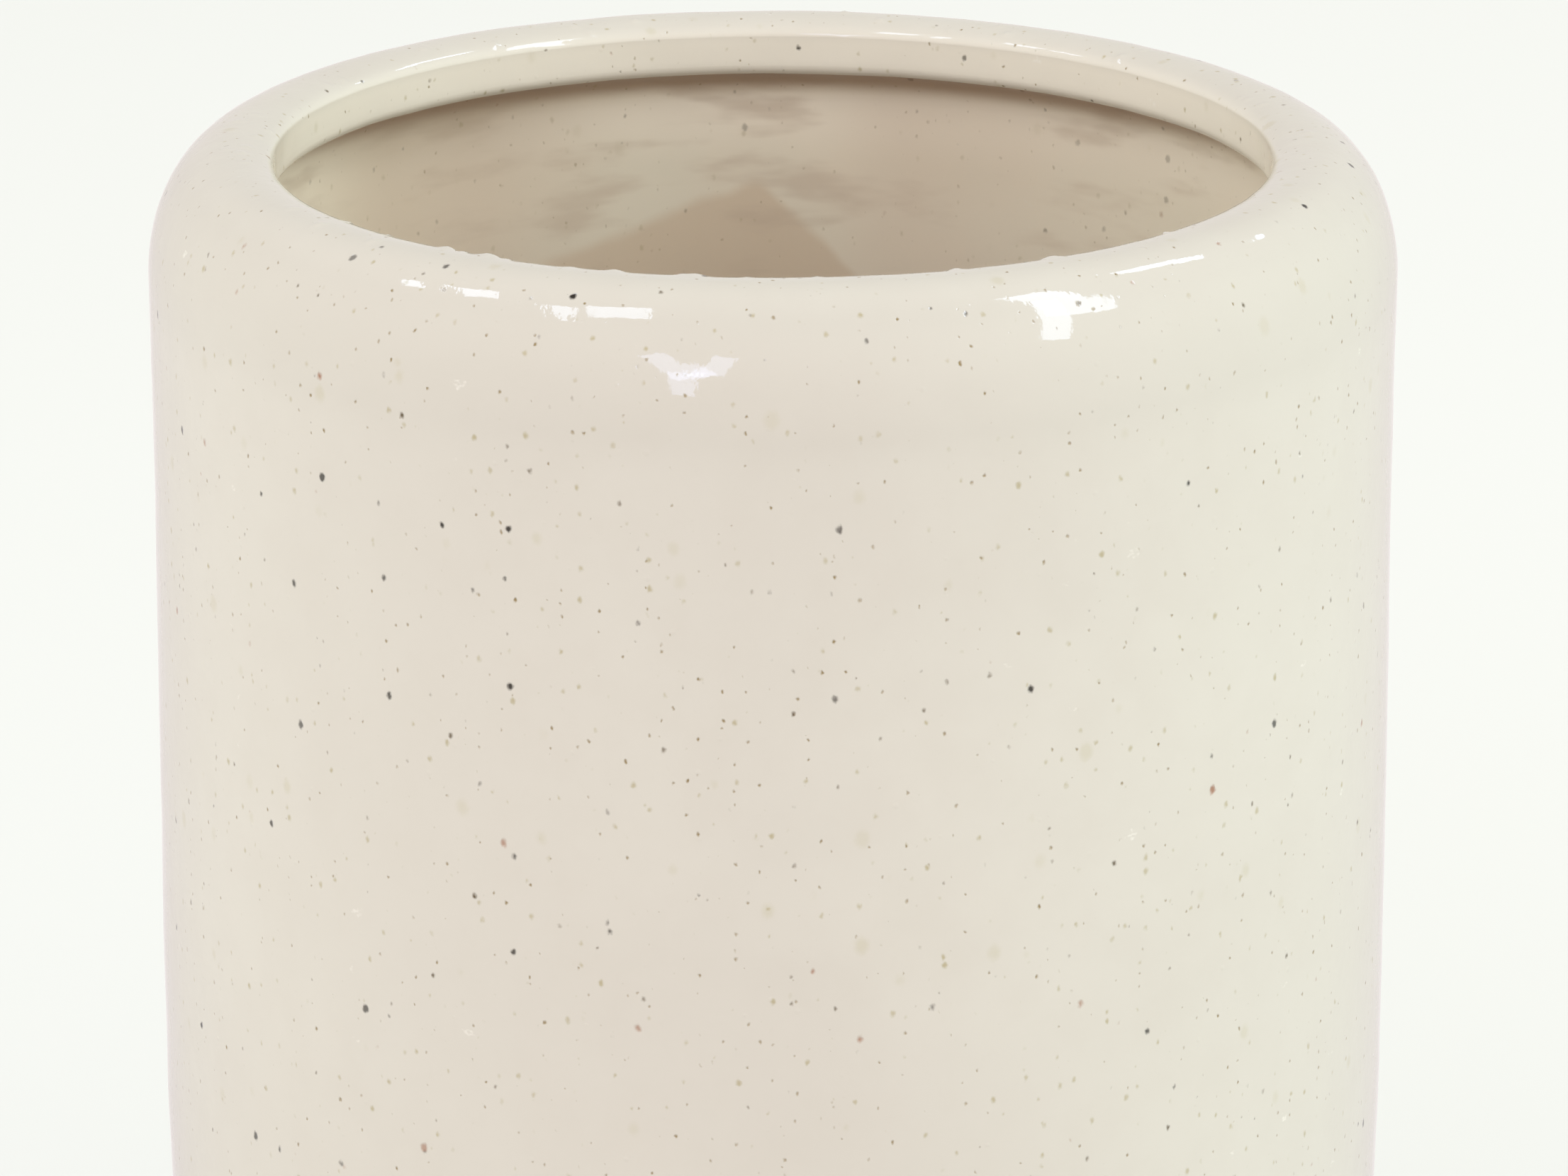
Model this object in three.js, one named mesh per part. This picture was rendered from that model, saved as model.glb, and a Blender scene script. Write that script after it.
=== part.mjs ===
// A speckled cream stoneware vase: a short, wide cylinder with a softly rounded shoulder
// and a thick lip that turns inwards over the mouth.
//
// Millimetres, +Z up. The origin is on the vase's axis, on the plane the foot stands on.
//
// The clay is luted together the way a potter builds such a pot: a floor slab, a foot ring
// under it, a wall that stands on the slab's rebated edge, and a lip ring whose groove sits
// over a tongue on top of the wall. Slip fills both of those joints, a coil of clay is
// pressed into the inside corner, and two coats of glaze cover all but the foot.

import * as THREE from 'three';

// Overall form, measured on the glaze.
const HEIGHT = 200;              // the foot's face to the crest of the lip
const SHOULDER_RADIUS = 65;      // where the wall starts to turn in
const BELLY_SWELL = 1;           // how much fuller the wall is at half height
const CREST_RADIUS = 56;         // the highest line of the lip
const MOUTH_RADIUS = 51.8;       // the clear opening
const SHOULDER_DROP = 13.3;      // crest down to the top of the wall
const LIP_ROUND_DROP = 1.9;      // crest down to the lip's inner face
const LIP_DEPTH = 6.4;           // crest down to the lip's underside
const LIP_EDGE_ROUND = 1.3;      // lower inner edge of the lip
const COVE_DROP = 4.6;           // height of the hollow under the lip
const INNER_RADIUS = 58.2;       // inside of the wall
const HEEL_RADIUS = 52;          // where the rounded heel meets the underside
const HEEL_RISE = 14;            // height of the heel's round
const GLAZE = 0.6;               // thickness of either coat

// Foot and floor.
const FOOT_HEIGHT = 4;
const FOOT_OUTER_RADIUS = 50;
const FOOT_INNER_RADIUS = 42;
const FOOT_EDGE = 1;             // softened lower edges of the foot
const SLAB_THICKNESS = 7;
const LEDGE_DEPTH = 2.5;         // how far the wall's seat lies below the slab's top
const TOE_WIDTH = 3;             // how far the wall's foot reaches in under the coil
const CORNER_COIL = 6;           // reach of the coil in the inside corner

// Joint between wall and lip ring.
const JOINT_DROP = 16;           // crest down to the shoulder of the joint
const TONGUE_HEIGHT = 3;
const TONGUE_WIDTH = 2.6;
const SLIP = 0.5;                // thickness of slip in both joints
const HAIRLINE = 0.05;           // gap that keeps neighbouring solids from sharing a face

// Smoothness.
const TURN_STEPS = 48;
const SHOULDER_STEPS = 6;
const LIP_STEPS = 4;
const EDGE_STEPS = 2;
const COVE_STEPS = 4;
const WALL_STEPS = 4;
const HEEL_STEPS = 4;
const CORNER_STEPS = 4;

// Heights that follow from the dimensions above.
const SHOULDER_Z = HEIGHT - SHOULDER_DROP;
const LIP_FACE_Z = HEIGHT - LIP_ROUND_DROP;
const LIP_EDGE_Z = HEIGHT - LIP_DEPTH + LIP_EDGE_ROUND;
const LIP_UNDERSIDE_Z = HEIGHT - LIP_DEPTH;
const COVE_Z = LIP_UNDERSIDE_Z - COVE_DROP;
const JOINT_Z = HEIGHT - JOINT_DROP;
const TONGUE_Z = JOINT_Z + TONGUE_HEIGHT;
const HEEL_Z = FOOT_HEIGHT - GLAZE + HEEL_RISE;
const SLAB_TOP_Z = FOOT_HEIGHT + SLAB_THICKNESS;
const LEDGE_Z = SLAB_TOP_Z - LEDGE_DEPTH;
const CLAY_INNER_RADIUS = INNER_RADIUS + GLAZE;
const GLAZE_BACK = GLAZE - HAIRLINE;

const QUARTER = Math.PI / 2;

const CLAY = { color: 0xc9b79c, roughness: 0.9, metalness: 0 };
const SLIP_CLAY = { color: 0xb7a386, roughness: 0.95, metalness: 0 };
const OUTER_GLAZE = { color: 0xe4dccd, roughness: 0.18, metalness: 0 };
const INNER_GLAZE = { color: 0xd8ccb4, roughness: 0.22, metalness: 0 };

function point(radius, height) {
  return new THREE.Vector2(radius, height);
}

// Points along part of an ellipse in the profile plane. Angle 0 points outwards from the
// axis and a quarter turn points up.
function arc(centre, reach, rise, from, to, steps) {
  const points = [];
  for (let i = 0; i <= steps; i += 1) {
    const angle = from + (to - from) * (i / steps);
    points.push(point(centre.x + reach * Math.cos(angle), centre.y + rise * Math.sin(angle)));
  }
  return points;
}

// The wall's side at a given radius, up from the heel to the lip ring's joint. It swells
// most halfway, and not at all at its two ends.
function side(radius) {
  const points = [];
  for (let i = 0; i <= WALL_STEPS; i += 1) {
    const t = i / WALL_STEPS;
    const swell = BELLY_SWELL * Math.sin(Math.PI * t) ** 2;
    points.push(point(radius + swell, HEEL_Z + (JOINT_Z - HEEL_Z) * t));
  }
  return points;
}

// The rounded heel, at a depth below the glaze's surface, between two angles.
function heel(depth, from, to) {
  const reach = SHOULDER_RADIUS - HEEL_RADIUS - depth;
  return arc(point(HEEL_RADIUS, HEEL_Z), reach, HEEL_RISE - depth, from, to, HEEL_STEPS);
}

// The angle on the clay's heel that lies at a height.
function heelAngle(height) {
  return Math.asin((height - HEEL_Z) / (HEEL_RISE - GLAZE));
}

// The point of the clay's heel that lies at a height.
function heelPoint(height) {
  const reach = SHOULDER_RADIUS - HEEL_RADIUS - GLAZE;
  return point(HEEL_RADIUS + reach * Math.cos(heelAngle(height)), height);
}

// The heel below the wall's seat, which belongs to the floor slab.
function slabHeel(depth) {
  return heel(depth, -QUARTER, heelAngle(LEDGE_Z));
}

// The heel above the wall's seat, which belongs to the wall.
function wallHeel(depth) {
  return heel(depth, heelAngle(LEDGE_Z + SLIP), 0);
}

// The shoulder, the crest and the lip's inner face, at a depth below the glaze's surface.
function shoulderAndLip(depth) {
  const shoulderReach = SHOULDER_RADIUS - CREST_RADIUS - depth;
  const lipReach = CREST_RADIUS - MOUTH_RADIUS - depth;
  const edgeReach = LIP_EDGE_ROUND - depth;
  const edgeRadius = MOUTH_RADIUS + LIP_EDGE_ROUND;
  const shoulder = arc(point(CREST_RADIUS, SHOULDER_Z), shoulderReach, SHOULDER_DROP - depth,
    0, QUARTER, SHOULDER_STEPS);
  const lip = arc(point(CREST_RADIUS, LIP_FACE_Z), lipReach, LIP_ROUND_DROP - depth,
    QUARTER, 2 * QUARTER, LIP_STEPS);
  const edge = arc(point(edgeRadius, LIP_EDGE_Z), edgeReach, edgeReach,
    2 * QUARTER, 3 * QUARTER, EDGE_STEPS);
  return [...shoulder, ...lip.slice(1), ...edge];
}

// The hollow under the lip, from its roof out and down to the inside of the wall, at a
// depth below the inner glaze's surface.
function cove(depth) {
  const start = MOUTH_RADIUS + LIP_EDGE_ROUND;
  return arc(point(start, COVE_Z), INNER_RADIUS - start + depth, COVE_DROP + depth,
    QUARTER, 0, COVE_STEPS);
}

// The inside corner from wall to floor, at a depth below the inner glaze's surface. It can
// stop short of both by an angle.
function insideCorner(depth, shortfall) {
  const centre = point(CLAY_INNER_RADIUS - CORNER_COIL, SLAB_TOP_Z + CORNER_COIL);
  const reach = CORNER_COIL - GLAZE + depth;
  return arc(centre, reach, reach, -shortfall, shortfall - QUARTER, CORNER_STEPS);
}

// The step of the joint under the lip ring, lifted and widened by the slip's thickness,
// from its outer edge in to the clay's inside.
function tongueStep(lift) {
  const tongueRadius = CLAY_INNER_RADIUS + TONGUE_WIDTH + lift;
  return [
    point(SHOULDER_RADIUS - GLAZE, JOINT_Z + lift),
    point(tongueRadius, JOINT_Z + lift),
    point(tongueRadius, TONGUE_Z + lift),
    point(CLAY_INNER_RADIUS, TONGUE_Z + lift),
  ];
}

// The wall's seat on the slab, lifted and widened by the slip's thickness, from the slab's
// top down to the ledge.
function seatStep(lift) {
  const seatRadius = CLAY_INNER_RADIUS - TOE_WIDTH + lift;
  return [
    point(seatRadius, SLAB_TOP_Z),
    point(seatRadius, LEDGE_Z + lift),
  ];
}

// A piece turned from a profile that runs up its outer side and closes on itself.
function turned(name, profile, finish) {
  const closed = [...profile, profile[0].clone()];
  const geometry = new THREE.LatheGeometry(closed, TURN_STEPS);
  return piece(name, geometry, finish);
}

// A piece turned from a profile whose two ends are on the axis.
function turnedSolid(name, profile, finish) {
  return piece(name, new THREE.LatheGeometry(profile, TURN_STEPS), finish);
}

function piece(name, geometry, finish) {
  const mesh = new THREE.Mesh(geometry, new THREE.MeshStandardMaterial(finish));
  mesh.name = name;
  mesh.rotation.x = QUARTER;
  return mesh;
}

function footRing() {
  const profile = [
    point(FOOT_INNER_RADIUS + FOOT_EDGE, 0),
    point(FOOT_OUTER_RADIUS - FOOT_EDGE, 0),
    point(FOOT_OUTER_RADIUS, FOOT_EDGE),
    point(FOOT_OUTER_RADIUS, FOOT_HEIGHT - HAIRLINE),
    point(FOOT_INNER_RADIUS, FOOT_HEIGHT - HAIRLINE),
    point(FOOT_INNER_RADIUS, FOOT_EDGE),
  ];
  return turned('foot_ring', profile, CLAY);
}

function floorSlab() {
  const profile = [
    point(0, FOOT_HEIGHT),
    ...slabHeel(GLAZE),
    ...seatStep(0).reverse(),
    point(0, SLAB_TOP_Z),
  ];
  return turnedSolid('floor_slab', profile, CLAY);
}

function lowerSlip() {
  const profile = [
    heelPoint(LEDGE_Z + HAIRLINE),
    heelPoint(LEDGE_Z + SLIP - HAIRLINE),
    ...seatStep(SLIP - HAIRLINE).reverse(),
    ...seatStep(HAIRLINE),
  ];
  return turned('floor_joint_slip', profile, SLIP_CLAY);
}

function wall() {
  const profile = [
    ...wallHeel(GLAZE),
    ...side(SHOULDER_RADIUS - GLAZE).slice(1),
    ...tongueStep(0).slice(1),
    ...side(CLAY_INNER_RADIUS).reverse(),
    point(CLAY_INNER_RADIUS, SLAB_TOP_Z),
    ...seatStep(SLIP),
  ];
  return turned('wall', profile, CLAY);
}

function upperSlip() {
  const profile = [
    tongueStep(HAIRLINE).at(0),
    ...tongueStep(SLIP - HAIRLINE),
    ...tongueStep(HAIRLINE).slice(1).reverse(),
  ];
  return turned('lip_joint_slip', profile, SLIP_CLAY);
}

function lipRing() {
  const profile = [
    tongueStep(SLIP).at(0),
    ...shoulderAndLip(GLAZE),
    ...cove(GLAZE).slice(1),
    ...tongueStep(SLIP).slice(1).reverse(),
  ];
  return turned('lip_ring', profile, CLAY);
}

function cornerCoil() {
  const profile = [
    point(CLAY_INNER_RADIUS - HAIRLINE, SLAB_TOP_Z + HAIRLINE),
    ...insideCorner(GLAZE, Math.acos(1 - HAIRLINE / CORNER_COIL)),
  ];
  return turned('corner_coil', profile, SLIP_CLAY);
}

function innerGlaze() {
  const surface = [
    point(0, SLAB_TOP_Z + GLAZE),
    ...insideCorner(0, 0).reverse(),
    ...side(INNER_RADIUS),
    ...cove(0).reverse(),
  ];
  const back = [
    point(0, SLAB_TOP_Z + HAIRLINE),
    ...insideCorner(GLAZE_BACK, 0).reverse(),
    ...side(CLAY_INNER_RADIUS - HAIRLINE),
    ...cove(GLAZE_BACK).reverse(),
  ];
  return turnedSolid('inner_glaze', [...back, ...surface.reverse()], INNER_GLAZE);
}

function outerGlaze() {
  const glazeLineAngle = -QUARTER + (heelAngle(LEDGE_Z) + QUARTER) / HEEL_STEPS;
  const surface = [
    ...heel(0, glazeLineAngle, 0),
    ...side(SHOULDER_RADIUS).slice(1),
    ...shoulderAndLip(0),
  ];
  const back = [
    ...slabHeel(GLAZE_BACK).slice(1),
    ...wallHeel(GLAZE_BACK),
    ...side(SHOULDER_RADIUS - GLAZE_BACK).slice(1),
    ...shoulderAndLip(GLAZE_BACK),
  ];
  return turned('outer_glaze', [...surface, ...back.reverse()], OUTER_GLAZE);
}

const vase = new THREE.Group();
vase.add(footRing());
vase.add(floorSlab());
vase.add(lowerSlip());
vase.add(cornerCoil());
vase.add(wall());
vase.add(upperSlip());
vase.add(lipRing());
vase.add(innerGlaze());
vase.add(outerGlaze());

export default vase;
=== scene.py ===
"""A speckled cream stoneware vase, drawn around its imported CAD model. Metres, +Z up."""
import math
import random

import bpy
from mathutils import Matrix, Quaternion, Vector, noise


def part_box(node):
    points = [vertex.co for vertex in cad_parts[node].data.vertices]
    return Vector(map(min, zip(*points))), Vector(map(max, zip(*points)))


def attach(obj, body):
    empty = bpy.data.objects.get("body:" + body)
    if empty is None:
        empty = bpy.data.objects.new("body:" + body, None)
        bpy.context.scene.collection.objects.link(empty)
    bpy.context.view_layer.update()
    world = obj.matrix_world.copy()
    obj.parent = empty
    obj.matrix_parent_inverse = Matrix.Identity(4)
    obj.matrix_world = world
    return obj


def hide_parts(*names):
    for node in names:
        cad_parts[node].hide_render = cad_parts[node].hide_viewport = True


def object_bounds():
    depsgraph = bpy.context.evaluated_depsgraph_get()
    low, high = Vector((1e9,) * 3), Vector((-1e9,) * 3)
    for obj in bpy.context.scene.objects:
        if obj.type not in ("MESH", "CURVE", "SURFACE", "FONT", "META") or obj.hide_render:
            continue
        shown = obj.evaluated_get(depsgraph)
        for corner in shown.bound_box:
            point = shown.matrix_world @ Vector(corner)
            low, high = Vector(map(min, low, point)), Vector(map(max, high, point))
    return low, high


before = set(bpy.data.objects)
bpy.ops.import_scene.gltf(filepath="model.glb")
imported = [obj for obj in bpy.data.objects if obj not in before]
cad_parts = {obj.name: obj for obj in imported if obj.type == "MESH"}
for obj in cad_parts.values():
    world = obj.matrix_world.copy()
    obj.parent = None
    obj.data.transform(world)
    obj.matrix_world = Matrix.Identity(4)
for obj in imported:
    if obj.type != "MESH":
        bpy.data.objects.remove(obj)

MM = 0.001
QUARTER = math.pi / 2
CAD_LOW, CAD_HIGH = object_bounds()

# ---------------------------------------------------------------- sizes, in metres

HEIGHT = CAD_HIGH.z
GLAZE = 0.6 * MM                   # thickness of either coat
SHOULDER_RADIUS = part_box("lip_ring")[1].x + GLAZE
BELLY_SWELL = CAD_HIGH.x - SHOULDER_RADIUS
FOOT_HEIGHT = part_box("floor_slab")[0].z
SLAB_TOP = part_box("floor_slab")[1].z
FOOT_OUTER_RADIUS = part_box("foot_ring")[1].x
FOOT_INNER_RADIUS = FOOT_OUTER_RADIUS - 8 * MM
FOOT_EDGE = 1 * MM                 # softened lower edges of the foot
CREST_RADIUS = 56 * MM             # the highest line of the lip
MOUTH_RADIUS = 51.8 * MM           # the clear opening
SHOULDER_DROP = 13.3 * MM          # crest down to the top of the wall
LIP_ROUND_DROP = 1.9 * MM          # crest down to the lip's inner face
LIP_DEPTH = 6.4 * MM               # crest down to the lip's underside
LIP_EDGE_ROUND = 1.3 * MM          # lower inner edge of the lip
COVE_DROP = 4.6 * MM               # height of the hollow under the lip
INNER_RADIUS = 58.2 * MM           # inside of the wall
HEEL_RADIUS = 52 * MM              # where the rounded heel meets the underside
HEEL_RISE = 14 * MM                # height of the heel's round
HAIRLINE = 0.05 * MM               # gap between neighbouring solids
CORNER_COIL = 6 * MM               # reach of the coil in the inside corner
LEDGE_DEPTH = 2.5 * MM             # how far the wall's seat lies below the slab's top
TOE_WIDTH = 3 * MM                 # how far the wall's foot reaches in under the coil
JOINT_DROP = 16 * MM               # crest down to the joint of wall and lip ring
GLAZE_LINE_ANGLE = -1.36           # where the outer glaze stops, in radians round the heel

SHOULDER_Z = HEIGHT - SHOULDER_DROP
HEEL_Z = FOOT_HEIGHT - GLAZE + HEEL_RISE
JOINT_Z = HEIGHT - JOINT_DROP
COVE_Z = HEIGHT - LIP_DEPTH - COVE_DROP
GLAZE_BACK = GLAZE - HAIRLINE      # depth of the glaze's back, clear of the clay

# ---------------------------------------------------------------- camera

CAMERA_DISTANCE = 0.600            # from the middle of the lip's crest
CAMERA_ELEVATION = math.radians(14.32)
CAMERA_PITCH = math.radians(18.82)
CAMERA_YAW = math.radians(-0.114)
LENS = 132.2                       # mm
SENSOR = 36.0                      # mm


def make_camera():
    data = bpy.data.cameras.new("camera")
    data.lens = LENS
    data.sensor_width = SENSOR
    data.clip_start = 0.01
    data.clip_end = 50
    camera = bpy.data.objects.new("camera", data)
    bpy.context.collection.objects.link(camera)
    camera.location = (
        0,
        -CAMERA_DISTANCE * math.cos(CAMERA_ELEVATION),
        HEIGHT + CAMERA_DISTANCE * math.sin(CAMERA_ELEVATION),
    )
    camera.rotation_euler = (QUARTER - CAMERA_PITCH, 0, CAMERA_YAW)
    bpy.context.scene.camera = camera


# ---------------------------------------------------------------- light and stage

MIDDLE_OF_LIP = Vector((0, 0, HEIGHT))
LIGHT_DISTANCE = 2.4
WINDOW_RADIANCE = 7.6              # as mirrored in the glaze
WINDOW_TINT = (0.66, 0.79, 1.0)
PANE_RADIANCE = 5.0
PANE_TINT = (0.50, 0.60, 0.92)
FILL_RADIANCE = 4.9                # the windows' soft light, apart from their mirror image
WHITE = (1, 1, 1)

# The room's radiances began as a least-squares fit of test renders to the photograph's
# colours, and were then rounded and changed a little.
ROOM_RADIANCE = (0.25, 0.28, 0.38)
ROOM_LOBES = [
    # azimuth and elevation in degrees, sharpness, radiance
    (0, 2, 2.0, (1.33, 1.06, 0.92)),
    (80, 12, 2.0, (2.1, 2.35, 2.05)),
    (-80, 12, 2.0, (2.15, 2.15, 1.85)),
    (180, 8, 1.5, (0.35, 0.30, 0.18)),
    (180, -40, 1.5, (0.40, 0.35, 0.35)),
]
FLOOR_REACH = 12.0
FLOOR_ALBEDO = (0.615, 0.610, 0.597, 1)


def direction_to(azimuth, elevation):
    """The direction at an azimuth and an elevation, in degrees. Azimuth 0 is the camera's
    side, positive to its right."""
    a, e = math.radians(azimuth), math.radians(elevation)
    return Vector((math.sin(a) * math.cos(e), -math.cos(a) * math.cos(e), math.sin(e)))


def softbox(name, place, size, roll, radiance, tint):
    """A rectangular light that faces the lip. Its place is an azimuth and an elevation, its
    size is the angle it spans each way, and it is rolled about its own aim, all in degrees."""
    data = bpy.data.lights.new(name, "AREA")
    data.shape = "RECTANGLE"
    data.size = 2 * LIGHT_DISTANCE * math.tan(math.radians(size[0] / 2))
    data.size_y = 2 * LIGHT_DISTANCE * math.tan(math.radians(size[1] / 2))
    data.energy = radiance * math.pi * data.size * data.size_y
    data.color = tint
    light = bpy.data.objects.new(name, data)
    bpy.context.collection.objects.link(light)
    outward = direction_to(*place)
    light.location = MIDDLE_OF_LIP + outward * LIGHT_DISTANCE
    facing = (-outward).to_track_quat("-Z", "Y")
    light.rotation_euler = (facing @ Quaternion((0, 0, 1), math.radians(roll))).to_euler()
    light.visible_camera = False
    return light


def make_lights():
    """Strips and panes of a bright room, which the glaze mirrors round its shoulder, and the
    soft light that they shed from either side."""
    # These and the three front panes began as the photograph's highlights, mirrored back by a
    # separate program, and were then rounded. Some were changed by eye.
    windows = [
        # place, size and roll, in degrees
        ("left_strip_end", (-105, 51), (6.6, 4.4), -15),
        ("left_strip", (-99, 58), (10, 6), -18),
        ("left_pane", (-61.5, 60), (17, 3.2), -48),
        ("left_bar", (-55, 68), (14, 6.5), -48),
        ("right_window", (85, 55), (27, 9.5), 48),
        ("right_window_foot", (67, 45), (36, 6), 57),
        ("right_strip", (134, 50), (9.5, 4.5), -63),
        ("right_strip_end", (133, 45), (5.0, 4.3), 0),
        ("right_spot", (138, 36), (5, 2.0), 0),
    ]
    for name, place, size, roll in windows:
        window = softbox(name, place, size, roll, WINDOW_RADIANCE, WINDOW_TINT)
        window.visible_diffuse = False
    for name, place, size in (("left_fill", (-72, 62), 16), ("right_fill", (82, 51), 24)):
        fill = softbox(name, place, (size, size), 0, FILL_RADIANCE, WHITE)
        fill.visible_glossy = False
    softbox("front_pane_left", (-18.5, 28), (16, 7), -57, PANE_RADIANCE, PANE_TINT)
    softbox("front_pane_right", (-11, 29), (14, 5.5), 78, PANE_RADIANCE, PANE_TINT)
    softbox("front_pane_foot", (-16, 17), (15, 4), -87, PANE_RADIANCE, PANE_TINT)


def make_world():
    """A pale room, brightest from its two sides and dimmest behind the vase."""
    world = bpy.data.worlds.new("studio")
    world.use_nodes = True
    graph = Graph(tree=world.node_tree)
    direction = graph.node("ShaderNodeTexCoord").outputs["Generated"]
    light = ROOM_RADIANCE
    for azimuth, elevation, sharpness, radiance in ROOM_LOBES:
        lobe_axis = direction_to(azimuth, elevation)
        facing = graph.node("ShaderNodeVectorMath", {0: direction, 1: lobe_axis},
                            operation="DOT_PRODUCT").outputs["Value"]
        falloff = graph.math("POWER", graph.math("MAXIMUM", facing, 0.0), sharpness)
        lobe = graph.node("ShaderNodeVectorMath", {0: radiance, "Scale": falloff},
                          operation="SCALE").outputs[0]
        light = graph.vector("ADD", lobe, light)
    background = graph.node("ShaderNodeBackground", {"Color": light})
    output = graph.node("ShaderNodeOutputWorld")
    graph.tree.links.new(background.outputs[0], output.inputs["Surface"])
    bpy.context.scene.world = world


def make_floor():
    """A pale floor. The glaze doesn't mirror it, so that its far edge draws no line."""
    mesh = bpy.data.meshes.new("floor")
    near, far = -FLOOR_REACH, FLOOR_REACH
    corners = [(near, near, 0), (far, near, 0), (far, far, 0), (near, far, 0)]
    mesh.from_pydata(corners, [], [(0, 1, 2, 3)])
    floor = bpy.data.objects.new("floor", mesh)
    bpy.context.collection.objects.link(floor)
    graph = Graph("floor_paper")
    graph.surface(Base_Color=FLOOR_ALBEDO, Roughness=0.9, Specular_IOR_Level=0.0)
    mesh.materials.append(graph.material)
    floor.visible_glossy = False


# ---------------------------------------------------------------- node graphs

class Graph:
    """A node tree, of a new material or of the world, with short calls for its nodes."""

    def __init__(self, name=None, tree=None):
        if tree is None:
            self.material = bpy.data.materials.new(name)
            self.material.use_nodes = True
            tree = self.material.node_tree
        self.tree = tree
        self.tree.nodes.clear()

    def node(self, kind, inputs=None, **settings):
        made = self.tree.nodes.new(kind)
        for key, value in settings.items():
            setattr(made, key, value)
        for key, value in (inputs or {}).items():
            self.put(made.inputs[key], value)
        return made

    def put(self, socket, value):
        if isinstance(value, bpy.types.NodeSocket):
            self.tree.links.new(value, socket)
        else:
            socket.default_value = value

    def place(self, stretch=(1, 1, 1)):
        """The point on the piece, in metres, stretched."""
        coords = self.node("ShaderNodeTexCoord").outputs["Object"]
        inputs = {"Vector": coords, "Scale": stretch}
        return self.node("ShaderNodeMapping", inputs).outputs["Vector"]

    def math(self, operation, *values):
        inputs = dict(enumerate(values))
        return self.node("ShaderNodeMath", inputs, operation=operation).outputs[0]

    def vector(self, operation, *values):
        inputs = dict(enumerate(values))
        return self.node("ShaderNodeVectorMath", inputs, operation=operation).outputs[0]

    def noise(self, vector, scale, detail=2.0, roughness=0.5, output="Fac"):
        inputs = {"Vector": vector, "Scale": scale, "Detail": detail, "Roughness": roughness}
        return self.node("ShaderNodeTexNoise", inputs).outputs[output]

    def ramp(self, value, low, high, to_low=0.0, to_high=1.0, smooth=True):
        """Goes from to_low to to_high as the value goes from low to high, and stays there."""
        kind = "SMOOTHSTEP" if smooth else "LINEAR"
        inputs = {"Value": value, "From Min": low, "From Max": high, "To Min": to_low,
                  "To Max": to_high}
        return self.node("ShaderNodeMapRange", inputs, interpolation_type=kind).outputs[0]

    def mix(self, factor, first, second):
        made = self.node("ShaderNodeMix", data_type="RGBA")
        self.put(made.inputs["Factor"], factor)
        colours = [s for s in made.inputs if s.type == "RGBA"]
        self.put(colours[0], first)
        self.put(colours[1], second)
        return next(s for s in made.outputs if s.type == "RGBA")

    def bump(self, height, strength, distance, normal=None):
        inputs = {"Height": height, "Strength": strength, "Distance": distance}
        if normal is not None:
            inputs["Normal"] = normal
        return self.node("ShaderNodeBump", inputs).outputs["Normal"]

    def surface(self, **inputs):
        shader = self.node("ShaderNodeBsdfPrincipled")
        for key, value in inputs.items():
            self.put(shader.inputs[key.replace("_", " ")], value)
        output = self.node("ShaderNodeOutputMaterial")
        self.tree.links.new(shader.outputs["BSDF"], output.inputs["Surface"])

    def specks(self, vector, per_metre, radius, edge, rarity):
        """Round grains of random size, of which a share, the rarity, is left out. Returns
        their mask and a random number for each."""
        inputs = {"Vector": vector, "Scale": per_metre, "Randomness": 1.0}
        cells = self.node("ShaderNodeTexVoronoi", inputs, feature="F1")
        chance = self.node("ShaderNodeSeparateColor", {"Color": cells.outputs["Color"]})
        size = self.ramp(chance.outputs["Red"], rarity, 1.0, 0.0, radius * per_metre, False)
        gap = self.math("SUBTRACT", size, cells.outputs["Distance"])
        mask = self.ramp(gap, 0.0, edge * per_metre)
        return mask, chance.outputs["Green"]


# ---------------------------------------------------------------- materials

# Some tones that the glazes carry are painted light and shade: painted shade in the hollow
# under the lip, round the shoulder and on the inside's left and right; painted light on the
# mouth's upright inner face and on the inside towards the lip; pale flecks painted as glints.
# As part of a glaze's colour, they stay under any other light. The inside is also browner
# below a peaked edge.

CREAM = (0.475, 0.440, 0.392, 1)
PALE_CREAM = (0.487, 0.455, 0.405, 1)
CLOUDY_CREAM = (0.458, 0.420, 0.370, 1)
# Painted shade round the shoulder.
SHOULDER_SHADE_CREAM = (0.410, 0.378, 0.335, 1)
# Painted light on the mouth's upright inner face.
MOUTH_LIGHT_CREAM = (0.615, 0.575, 0.500, 1)
# Pale flecks painted as glints.
GLINT_CREAM = (0.66, 0.64, 0.59, 1)
LINER = (0.700, 0.622, 0.500, 1)
GREENER_LINER = (0.680, 0.629, 0.512, 1)
# Painted light on the inside towards the lip.
UPPER_LIGHT_LINER = (0.83, 0.76, 0.64, 1)
PEAKED_PATCH_LINER = (0.590, 0.490, 0.370, 1)
# Painted shade on the inside's left and right.
SIDE_SHADE_LINER = (0.560, 0.465, 0.370, 1)
LINER_BLOTCH = (0.500, 0.410, 0.320, 1)
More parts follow.
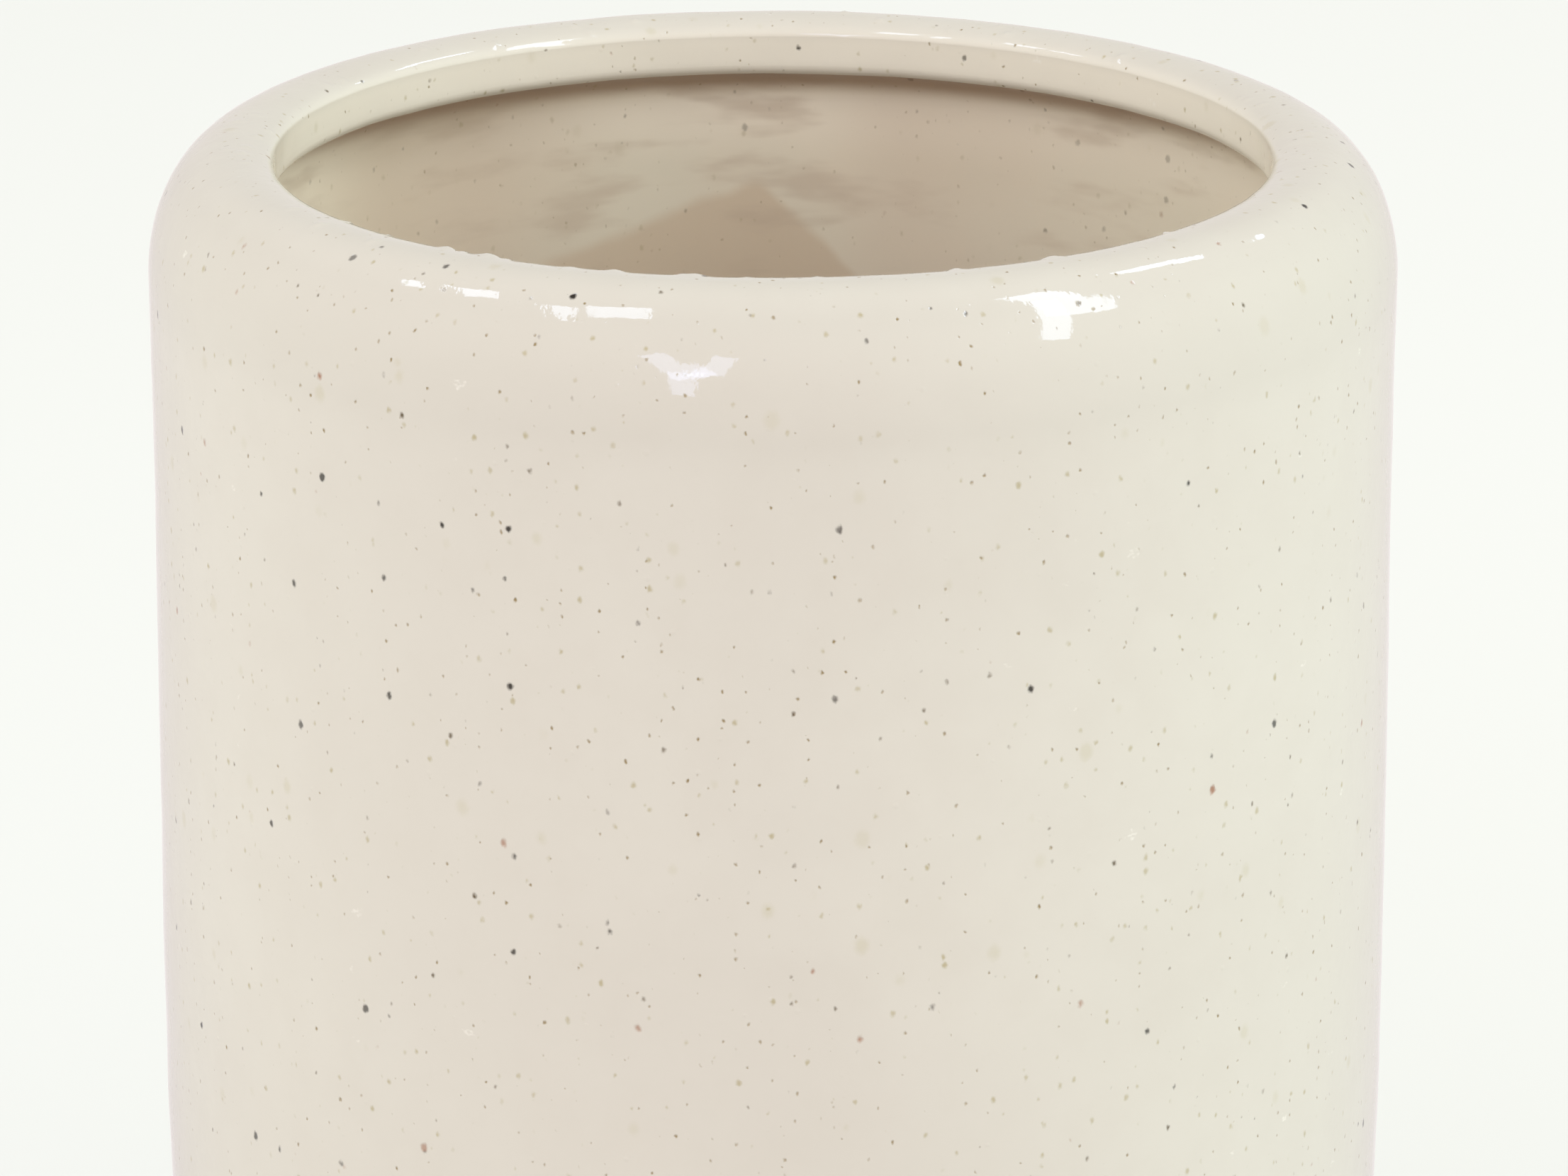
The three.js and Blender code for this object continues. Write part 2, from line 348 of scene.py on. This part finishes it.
# Painted shade in the hollow under the lip.
LIP_SHADE_BROWN = (0.40, 0.28, 0.20, 1)
DARK_CLAY = (0.50, 0.39, 0.27, 1)
PALE_CLAY = (0.60, 0.48, 0.35, 1)
DARK_SLIP = (0.42, 0.33, 0.23, 1)
PALE_SLIP = (0.52, 0.41, 0.29, 1)
GRAINS = [
    # grains per metre, radius and soft edge in mm, rarity, opacity, colour
    (230, 1.10, 0.70, 0.30, 0.23, (0.33, 0.28, 0.13)),
    (600, 0.44, 0.36, 0.10, 0.65, (0.26, 0.21, 0.075)),
    (850, 0.27, 0.22, 0.20, 0.90, (0.16, 0.100, 0.015)),
    (480, 0.38, 0.32, 0.50, 1.00, (0.060, 0.034, 0.004)),
    (320, 0.52, 0.30, 0.47, 1.00, (0.010, 0.005, 0.001)),
    (230, 0.56, 0.40, 0.60, 0.90, (0.22, 0.075, 0.022)),
]
PITTING_OPACITY = 0.7              # grains more opaque than this lie in a small pit


def wobbled(graph, vector, scale, reach):
    """The vector, pushed about by noise so that round grains become ragged."""
    push = graph.noise(vector, scale, 1.0, output="Color")
    centred = graph.vector("SUBTRACT", push, (0.5, 0.5, 0.5))
    scaled = graph.node("ShaderNodeVectorMath", {0: centred, "Scale": reach}, operation="SCALE")
    return graph.vector("ADD", vector, scaled.outputs[0])


def speckled(graph, colour, amount=1.0):
    """Iron specks over a glaze colour, and pale flecks painted as glints. Returns the colour
    and the pits.
    """
    ragged = wobbled(graph, graph.place((1, 1, 0.8)), 2200, 0.34 * MM)
    # Pale flecks painted as glints.
    painted_glints, _ = graph.specks(wobbled(graph, graph.place((1, 1, 1.5)), 1500, 2.2 * MM), 170,
                            0.85 * MM, 0.7 * MM, 0.6)
    colour = graph.mix(graph.math("MULTIPLY", painted_glints, 0.5 * amount), colour, GLINT_CREAM)
    pits = 0.0
    for i, (scale, radius, edge, rarity, opacity, tone) in enumerate(GRAINS):
        spot = graph.vector("ADD", ragged, (0.7 * i, 1.9 * i, 0.4 * i))
        mask, chance = graph.specks(spot, scale, radius * MM, edge * MM, rarity)
        fade = graph.ramp(chance, 0, 0.8, 0.65 * opacity * amount, opacity * amount, False)
        colour = graph.mix(graph.math("MULTIPLY", mask, fade), colour, (*tone, 1))
        if opacity > PITTING_OPACITY:
            pits = graph.math("MAXIMUM", pits, mask)
    return colour, pits


def painted_mouth_light(graph, place):
    """Painted light: a paler tone on the mouth's upright inner face."""
    axes = graph.node("ShaderNodeSeparateXYZ", {"Vector": place})
    flat = graph.node("ShaderNodeCombineXYZ", {"X": axes.outputs["X"], "Y": axes.outputs["Y"]})
    radius = graph.node("ShaderNodeVectorMath", {0: flat.outputs[0]}, operation="LENGTH")
    inward = graph.ramp(radius.outputs["Value"], MOUTH_RADIUS + 2.5 * MM,
                        MOUTH_RADIUS + 0.5 * MM)
    below = graph.ramp(axes.outputs["Z"], HEIGHT - 0.4 * MM, HEIGHT - 2.8 * MM)
    return graph.math("MULTIPLY", inward, below)


def painted_shoulder_shade(graph, place):
    """Painted shade round the shoulder: a darker tone from 18 mm below the crest up to the
    crest, fullest just below it.
    """
    z = graph.node("ShaderNodeSeparateXYZ", {"Vector": place}).outputs["Z"]
    above = graph.ramp(z, HEIGHT - 18 * MM, HEIGHT - 7 * MM)
    below = graph.ramp(z, HEIGHT - 0.2 * MM, HEIGHT - 3 * MM, 0.4, 1.0)
    return graph.math("MULTIPLY", above, below)


def outer_glaze_material():
    graph = Graph("speckled_cream_glaze")
    place = graph.place()
    drift = graph.noise(place, 22, 2.0)
    cloud = graph.noise(place, 160, 3.0)
    colour = graph.mix(graph.ramp(drift, 0.35, 0.65), CREAM, PALE_CREAM)
    colour = graph.mix(graph.ramp(cloud, 0.3, 0.75, 0, 0.35), colour, CLOUDY_CREAM)
    # Painted shade round the shoulder.
    darker_share = graph.math("MULTIPLY", painted_shoulder_shade(graph, place), 0.62)
    colour = graph.mix(darker_share, colour, SHOULDER_SHADE_CREAM)
    # Painted light on the mouth's upright inner face.
    colour = graph.mix(painted_mouth_light(graph, place), colour, MOUTH_LIGHT_CREAM)
    colour, pits = speckled(graph, colour)
    pimples, _ = graph.specks(place, 420, 0.45 * MM, 0.40 * MM, 0.30)
    normal = graph.bump(graph.noise(place, 900, 2.0), 0.5, 0.02 * MM)
    normal = graph.bump(graph.math("MULTIPLY", pits, -1.0), 0.6, 0.08 * MM, normal)
    normal = graph.bump(pimples, 0.7, 0.035 * MM, normal)
    roughness = graph.ramp(graph.noise(place, 240, 2.0), 0.3, 0.7, 0.02, 0.05)
    graph.surface(Base_Color=colour, Roughness=roughness, Normal=normal, IOR=1.45)
    return graph.material


def peaked_patch(graph, place):
    """Where the liner is browner: below two slanting edges that meet in a peak."""
    axes = graph.node("ShaderNodeSeparateXYZ", {"Vector": place})
    x = axes.outputs["X"]
    left = graph.math("MULTIPLY_ADD", x, 0.33, HEIGHT - 20.0 * MM)
    right = graph.math("MULTIPLY_ADD", x, -0.95, HEIGHT - 22.2 * MM)
    edge = graph.math("SMOOTH_MIN", left, right, 2.0 * MM)
    wander = graph.ramp(graph.noise(place, 110, 2.0), 0.2, 0.8, -1.0 * MM, 1.0 * MM, False)
    depth = graph.math("SUBTRACT", graph.math("ADD", edge, wander), axes.outputs["Z"])
    return graph.ramp(depth, -0.9 * MM, 1.1 * MM)


def painted_side_shade(graph, x):
    """Painted shade: two stretches of the inside, left and right, made browner."""
    left = graph.math("MULTIPLY", graph.ramp(x, -54 * MM, -42 * MM, 0, 0.7),
                      graph.ramp(x, -14 * MM, -36 * MM))
    right = graph.math("MULTIPLY", graph.ramp(x, 4 * MM, 16 * MM, 0, 0.36),
                       graph.ramp(x, 50 * MM, 16 * MM, 0.5, 1.0))
    return graph.math("ADD", left, right)


def inner_glaze_material():
    graph = Graph("warm_liner_glaze")
    place = graph.place()
    axes = graph.node("ShaderNodeSeparateXYZ", {"Vector": place})
    x, z = axes.outputs["X"], axes.outputs["Z"]
    drift = graph.ramp(graph.noise(place, 38, 2.0), 0.35, 0.65)
    colour = graph.mix(drift, LINER, GREENER_LINER)
    darker_share = graph.math("MULTIPLY", peaked_patch(graph, place), 0.9)
    colour = graph.mix(darker_share, colour, PEAKED_PATCH_LINER)
    # Painted light on the inside towards the lip.
    painted_upper_light = graph.ramp(z, HEIGHT - 19 * MM, HEIGHT - 11 * MM, 0, 0.75)
    colour = graph.mix(painted_upper_light, colour, UPPER_LIGHT_LINER)
    # Painted shade on the inside's left and right.
    colour = graph.mix(painted_side_shade(graph, x), colour, SIDE_SHADE_LINER)
    flattened = graph.place((60, 60, 230))
    blotches = graph.ramp(graph.noise(flattened, 1.0, 3.0), 0.52, 0.72, 0, 0.55)
    colour = graph.mix(blotches, colour, LINER_BLOTCH)
    # Painted shade in the hollow under the lip.
    painted_lip_shade = graph.ramp(z, HEIGHT - 10.2 * MM, HEIGHT - 7.6 * MM, 0, 0.95)
    colour = graph.mix(painted_lip_shade, colour, LIP_SHADE_BROWN)
    colour, pits = speckled(graph, colour, 0.45)
    normal = graph.bump(graph.noise(place, 500, 2.0), 0.3, 0.04 * MM)
    normal = graph.bump(graph.math("MULTIPLY", pits, -1.0), 0.4, 0.06 * MM, normal)
    graph.surface(Base_Color=colour, Roughness=0.2, Normal=normal, IOR=1.5)
    return graph.material


def clay_material():
    graph = Graph("bare_stoneware")
    place = graph.place()
    tone = graph.noise(place, 90, 4.0)
    colour = graph.mix(graph.ramp(tone, 0.3, 0.7), DARK_CLAY, PALE_CLAY)
    colour, pits = speckled(graph, colour, 0.9)
    grit = graph.noise(place, 1400, 4.0, 0.7)
    normal = graph.bump(grit, 0.6, 0.12 * MM)
    normal = graph.bump(graph.math("MULTIPLY", pits, -1.0), 0.4, 0.10 * MM, normal)
    graph.surface(Base_Color=colour, Roughness=graph.ramp(grit, 0.3, 0.7, 0.78, 0.95),
                  Normal=normal, IOR=1.5)
    return graph.material


def slip_material():
    graph = Graph("fired_slip")
    place = graph.place()
    tone = graph.noise(place, 300, 4.0)
    colour = graph.mix(graph.ramp(tone, 0.3, 0.7), DARK_SLIP, PALE_SLIP)
    normal = graph.bump(graph.noise(place, 2200, 3.0), 0.5, 0.06 * MM)
    graph.surface(Base_Color=colour, Roughness=0.93, Normal=normal, IOR=1.5)
    return graph.material


# ---------------------------------------------------------------- outlines

def arc(centre, reach, rise, start, end, steps):
    """Points on part of an ellipse. Angle 0 points away from the axis, a quarter turn up."""
    points = []
    for i in range(steps + 1):
        angle = start + (end - start) * i / steps
        points.append((centre[0] + reach * math.cos(angle), centre[1] + rise * math.sin(angle)))
    return points


def side(radius, start, end, steps):
    """The wall's side between two heights, with its swell."""
    points = []
    for i in range(steps + 1):
        z = start + (end - start) * i / steps
        t = min(max((z - HEEL_Z) / (JOINT_Z - HEEL_Z), 0), 1)
        points.append((radius + BELLY_SWELL * math.sin(math.pi * t) ** 2, z))
    return points


def heel(depth, start, end, steps):
    reach = SHOULDER_RADIUS - HEEL_RADIUS - depth
    return arc((HEEL_RADIUS, HEEL_Z), reach, HEEL_RISE - depth, start, end, steps)


def shoulder_and_lip(depth, fineness):
    shoulder = arc((CREST_RADIUS, SHOULDER_Z), SHOULDER_RADIUS - CREST_RADIUS - depth,
                   SHOULDER_DROP - depth, 0, QUARTER, 6 * fineness)
    lip = arc((CREST_RADIUS, HEIGHT - LIP_ROUND_DROP), CREST_RADIUS - MOUTH_RADIUS - depth,
              LIP_ROUND_DROP - depth, QUARTER, 2 * QUARTER, 3 * fineness)
    face_top = lip[-1][1]
    edge_z = HEIGHT - LIP_DEPTH + LIP_EDGE_ROUND
    face = [(lip[-1][0], face_top + (edge_z - face_top) * i / fineness)
            for i in range(1, fineness)]
    edge = arc((MOUTH_RADIUS + LIP_EDGE_ROUND, edge_z), LIP_EDGE_ROUND - depth,
               LIP_EDGE_ROUND - depth, 2 * QUARTER, 3 * QUARTER, fineness)
    return shoulder + lip[1:] + face + edge


def cove(depth, steps):
    start = MOUTH_RADIUS + LIP_EDGE_ROUND
    return arc((start, COVE_Z), INNER_RADIUS - start + depth, COVE_DROP + depth, 0, QUARTER,
               steps)


def inside_corner(depth, steps):
    reach = CORNER_COIL - GLAZE + depth
    centre = (INNER_RADIUS + GLAZE - CORNER_COIL, SLAB_TOP + CORNER_COIL)
    return arc(centre, reach, reach, -QUARTER, 0, steps)


# ---------------------------------------------------------------- turned pieces

def profile_normals(outline):
    """The direction that each point of an outline faces, for one that runs up its outside."""
    normals = []
    for i in range(len(outline)):
        before = outline[max(i - 1, 0)]
        after = outline[min(i + 1, len(outline) - 1)]
        along = Vector((after[0] - before[0], after[1] - before[1])).normalized()
        normals.append((along.y, -along.x))
    return normals


SHARP_ANGLE = math.radians(50)
ON_AXIS = 0.0001 * MM


def turn(name, outline, counts, closed, raised=None):
    """Turns an outline about the axis, with counts[i] points round row i. A closed outline
    makes a ring, and an open one has both ends on the axis. raised(point, row) is how far a
    point stands out from the true surface."""
    verts, faces, rows = [], [], []
    normals = profile_normals(outline)
    for row, (radius, z) in enumerate(outline):
        if radius < ON_AXIS:
            rows.append([len(verts)])
            verts.append(Vector((0, 0, z)))
            continue
        rows.append(list(range(len(verts), len(verts) + counts[row])))
        for i in range(counts[row]):
            angle = 2 * math.pi * i / counts[row]
            across = Vector((math.sin(angle), -math.cos(angle), 0))
            point = across * radius + Vector((0, 0, z))
            if raised:
                facing = across * normals[row][0] + Vector((0, 0, normals[row][1]))
                point = point + facing * raised(point, row)
            verts.append(point)
    following = rows[1:] + rows[:1] if closed else rows[1:]
    for lower, upper in zip(rows, following):
        pair = (len(lower), len(upper))
        sectors = max(pair) if 1 in pair else min(pair)
        for i in range(sectors):
            low_run = run_of(lower, i, sectors)
            high_run = run_of(upper, i, sectors)
            faces.append(list(dict.fromkeys(low_run + high_run[::-1])))
    mesh = bpy.data.meshes.new(name)
    mesh.from_pydata(verts, [], faces)
    mesh.validate()
    mesh.shade_smooth()
    mesh.set_sharp_from_angle(angle=SHARP_ANGLE)
    piece = bpy.data.objects.new(name, mesh)
    bpy.context.collection.objects.link(piece)
    return piece


def run_of(row, sector, sectors):
    """The row's points along one sector, both ends included."""
    if len(row) == 1:
        return row
    step = len(row) // sectors
    return [row[(sector * step + k) % len(row)] for k in range(step + 1)]


def finish_piece(piece, material, node):
    """The piece stands for a CAD node on the vase's only body."""
    piece.data.materials.append(material)
    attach(piece, "root")
    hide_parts(node)


# ---------------------------------------------------------------- the vase

# Points round each piece.
BODY_COUNT = 480
LIP_COUNT = 960
INNER_COUNT = 360
FOOT_COUNT = 256

# Rows up each surface. The unseen backs of the glaze have few.
BODY_ROWS = 58
INNER_ROWS = 60
BACK_ROWS = 6
FLOOR_ROWS = 12
UNDERSIDE_ROWS = 60
LIP_FINENESS = 5

# Grains that stand up under the glaze of the mouth's edge, at the front of the vase: the
# angle from its front in degrees, the height and the width in mm.
FRONT_GRAINS = [
    (-36.0, 0.28, 1.4), (-33.8, 0.12, 1.0), (-30.6, 0.34, 2.0), (-28.4, 0.12, 0.9),
    (-21.0, 0.10, 1.6), (-16.3, 0.20, 1.6), (-9.3, 0.14, 1.2), (-7.9, 0.26, 1.9),
    (-2.6, 0.10, 0.9), (4.5, 0.10, 0.8), (19.0, 0.20, 1.2), (30.0, 0.24, 1.8),
]
GRAIN_RADIUS = 53.6 * MM           # the ring that the front's grains stand on
OTHER_GRAINS = 34
GRAIN_SEED = 11


def lip_grains():
    """The grains along the mouth's edge, as (place, height, width) in metres. Past the front
    they are scattered by chance."""
    chance = random.Random(GRAIN_SEED)
    grains = [(angle, GRAIN_RADIUS, height, width) for angle, height, width in FRONT_GRAINS]
    for _ in range(OTHER_GRAINS):
        radius = GRAIN_RADIUS + chance.uniform(-1.0, 3.0) * MM
        grains.append((chance.uniform(42, 318), radius, chance.uniform(0.08, 0.24),
                       chance.uniform(0.6, 1.3)))
    placed = []
    for angle, radius, height, width in grains:
        turned = math.radians(angle)
        across = Vector((math.sin(turned), -math.cos(turned), 0))
        placed.append((across * radius, height * MM, width * MM))
    return placed


def waves(point):
    """Height of the glaze's slow unevenness, in metres."""
    broad = 0.10 * noise.noise(point * 28)
    rings = 0.04 * noise.noise(Vector((point.x * 12, point.y * 12, point.z * 130)))
    middle = 0.06 * noise.noise(point * 110 + Vector((5, 1, 2)))
    fine = 0.034 * noise.noise(point * 260 + Vector((1, 9, 4)))
    return (broad + rings + middle + fine) * MM


def outer_glaze():
    """The outer coat as a thin shell, with its front surface uneven and its back plain."""
    body = heel(0, GLAZE_LINE_ANGLE, 0, 8)
    body += side(SHOULDER_RADIUS, HEEL_Z, SHOULDER_Z, BODY_ROWS)[1:]
    lip = shoulder_and_lip(0, LIP_FINENESS)[1:]
    back = heel(GLAZE_BACK, GLAZE_LINE_ANGLE, 0, 4)
    back += side(SHOULDER_RADIUS - GLAZE_BACK, HEEL_Z, SHOULDER_Z, BACK_ROWS)[1:]
    back += shoulder_and_lip(GLAZE_BACK, 1)[1:]
    counts = [BODY_COUNT] * len(body) + [LIP_COUNT] * len(lip) + [BODY_COUNT] * len(back)
    grains = lip_grains()
    crest_z = HEIGHT - LIP_ROUND_DROP

    def raised(point, row):
        if row >= len(body) + len(lip):
            return 0
        height = waves(point)
        if point.z > crest_z:
            flat = Vector((point.x, point.y, 0))
            for place, tall, wide in grains:
                near = (flat - place).length / (0.5 * wide)
                if near < 3:
                    height += tall * math.exp(-near * near)
        return height

    return turn("speckled_outer_glaze", body + lip + back[::-1], counts, True, raised)


def inner_glaze():
    """The liner coat, from the middle of the floor up into the hollow under the lip."""
    surface = inside_corner(0, 8)
    corner_top = SLAB_TOP + CORNER_COIL
    surface += side(INNER_RADIUS, corner_top, COVE_Z, INNER_ROWS)[1:] + cove(0, 8)[1:]
    back = inside_corner(GLAZE_BACK, 4)
    back += side(INNER_RADIUS + GLAZE_BACK, corner_top, COVE_Z, BACK_ROWS)[1:]
    back += cove(GLAZE_BACK, 4)[1:]
    floor_edge, floor_top = surface[0]
    floor_back = back[0][1]
    floor = [(floor_edge * i / FLOOR_ROWS, floor_top) for i in range(FLOOR_ROWS)]
    outline = [(0, floor_back)] + back + surface[::-1] + floor[::-1]

    def raised(point, row):
        return 0 if row <= len(back) else waves(point)

    return turn("warm_inner_glaze", outline, [INNER_COUNT] * len(outline), False, raised)


def floor_slab():
    """The slab's underside is trimmed in rings inside the foot, and its heel carries on
    the wall's."""
    ring_width = 3.4 * MM
    cut = 0.12 * MM
    underside = []
    for i in range(UNDERSIDE_ROWS + 1):
        radius = (FOOT_INNER_RADIUS - 1 * MM) * i / UNDERSIDE_ROWS
        lift = cut * (0.5 - 0.5 * math.cos(2 * math.pi * radius / ring_width))
        underside.append((radius, FOOT_HEIGHT + lift))
    ledge_z = SLAB_TOP - LEDGE_DEPTH
    top_angle = math.asin((ledge_z - HEEL_Z) / (HEEL_RISE - GLAZE))
    seat_radius = INNER_RADIUS + GLAZE - TOE_WIDTH
    outline = underside + heel(GLAZE, -QUARTER, top_angle, 12)
    outline += [(seat_radius, ledge_z), (seat_radius, SLAB_TOP), (0, SLAB_TOP)]
    return turn("trimmed_floor_slab", outline, [FOOT_COUNT] * len(outline), False)


def foot_ring():
    """A plain ring of bare clay with softened lower edges."""
    edge = FOOT_EDGE
    top = FOOT_HEIGHT - HAIRLINE
    outline = [(FOOT_OUTER_RADIUS - edge, 0)]
    outline += arc((FOOT_OUTER_RADIUS - edge, edge), edge, edge, -QUARTER, 0, 5)[1:]
    outline += [(FOOT_OUTER_RADIUS, top), (FOOT_INNER_RADIUS, top)]
    outline += arc((FOOT_INNER_RADIUS + edge, edge), edge, edge, 2 * QUARTER, 3 * QUARTER, 5)
    return turn("bare_foot_ring", outline, [FOOT_COUNT] * len(outline), True)


glaze = outer_glaze_material()
liner = inner_glaze_material()
clay = clay_material()
slip = slip_material()

finish_piece(outer_glaze(), glaze, "outer_glaze")
finish_piece(inner_glaze(), liner, "inner_glaze")
finish_piece(foot_ring(), clay, "foot_ring")
finish_piece(floor_slab(), clay, "floor_slab")
for node, material in (("wall", clay), ("lip_ring", clay), ("lip_joint_slip", slip),
                       ("floor_joint_slip", slip), ("corner_coil", slip)):
    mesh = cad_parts[node].data
    mesh.materials.clear()
    mesh.materials.append(material)

make_camera()
make_world()
make_lights()
make_floor()
bpy.context.scene.view_settings.view_transform = "Standard"
